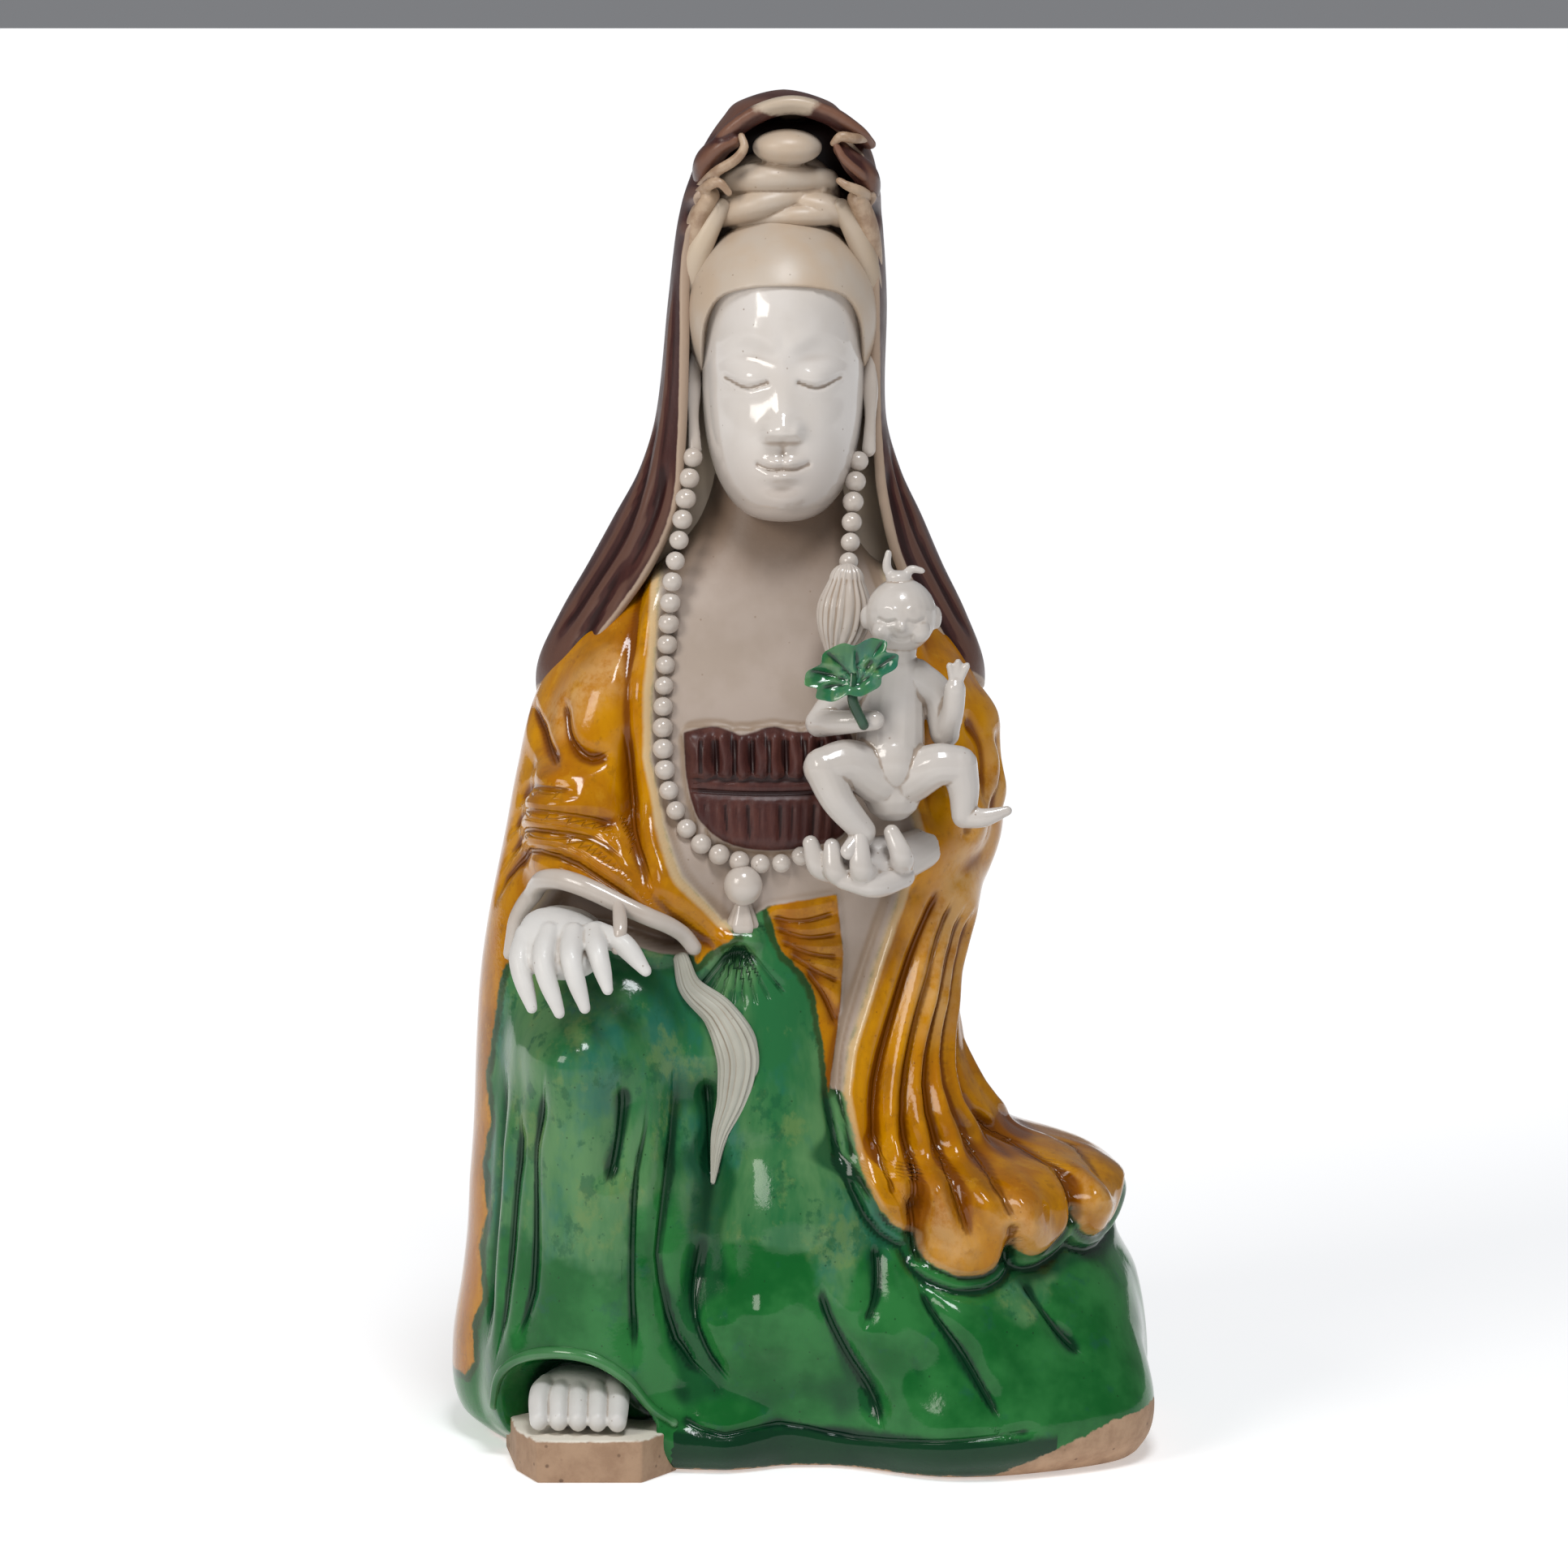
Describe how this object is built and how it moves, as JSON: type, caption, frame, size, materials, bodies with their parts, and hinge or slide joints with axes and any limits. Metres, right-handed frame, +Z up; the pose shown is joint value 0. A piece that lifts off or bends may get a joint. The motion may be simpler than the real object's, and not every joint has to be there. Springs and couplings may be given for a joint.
{
  "type": "porcelain figure",
  "caption": "Seated veiled woman in draped robes, a child held up on one hand and the other hand on the knee, one foot on a small slab; glazed green, yellow and aubergine.",
  "frame": {"origin": "centre of the bounding box in plan, on the ground plane under the base", "axes": "+Z up, the figure faces -Y, +X towards the figure's left hand with the child"},
  "size_m": [0.1986, 0.1248, 0.38],
  "materials": {
    "glazed_porcelain": "glossy",
    "green_glaze": "glossy",
    "yellow_glaze": "glossy",
    "aubergine_glaze": "satin",
    "cream_glaze": "glossy",
    "bare_biscuit": "matte"
  },
  "bodies": {
    "root": {"seated_figure": "glazed_porcelain"}
  },
  "joints": []
}
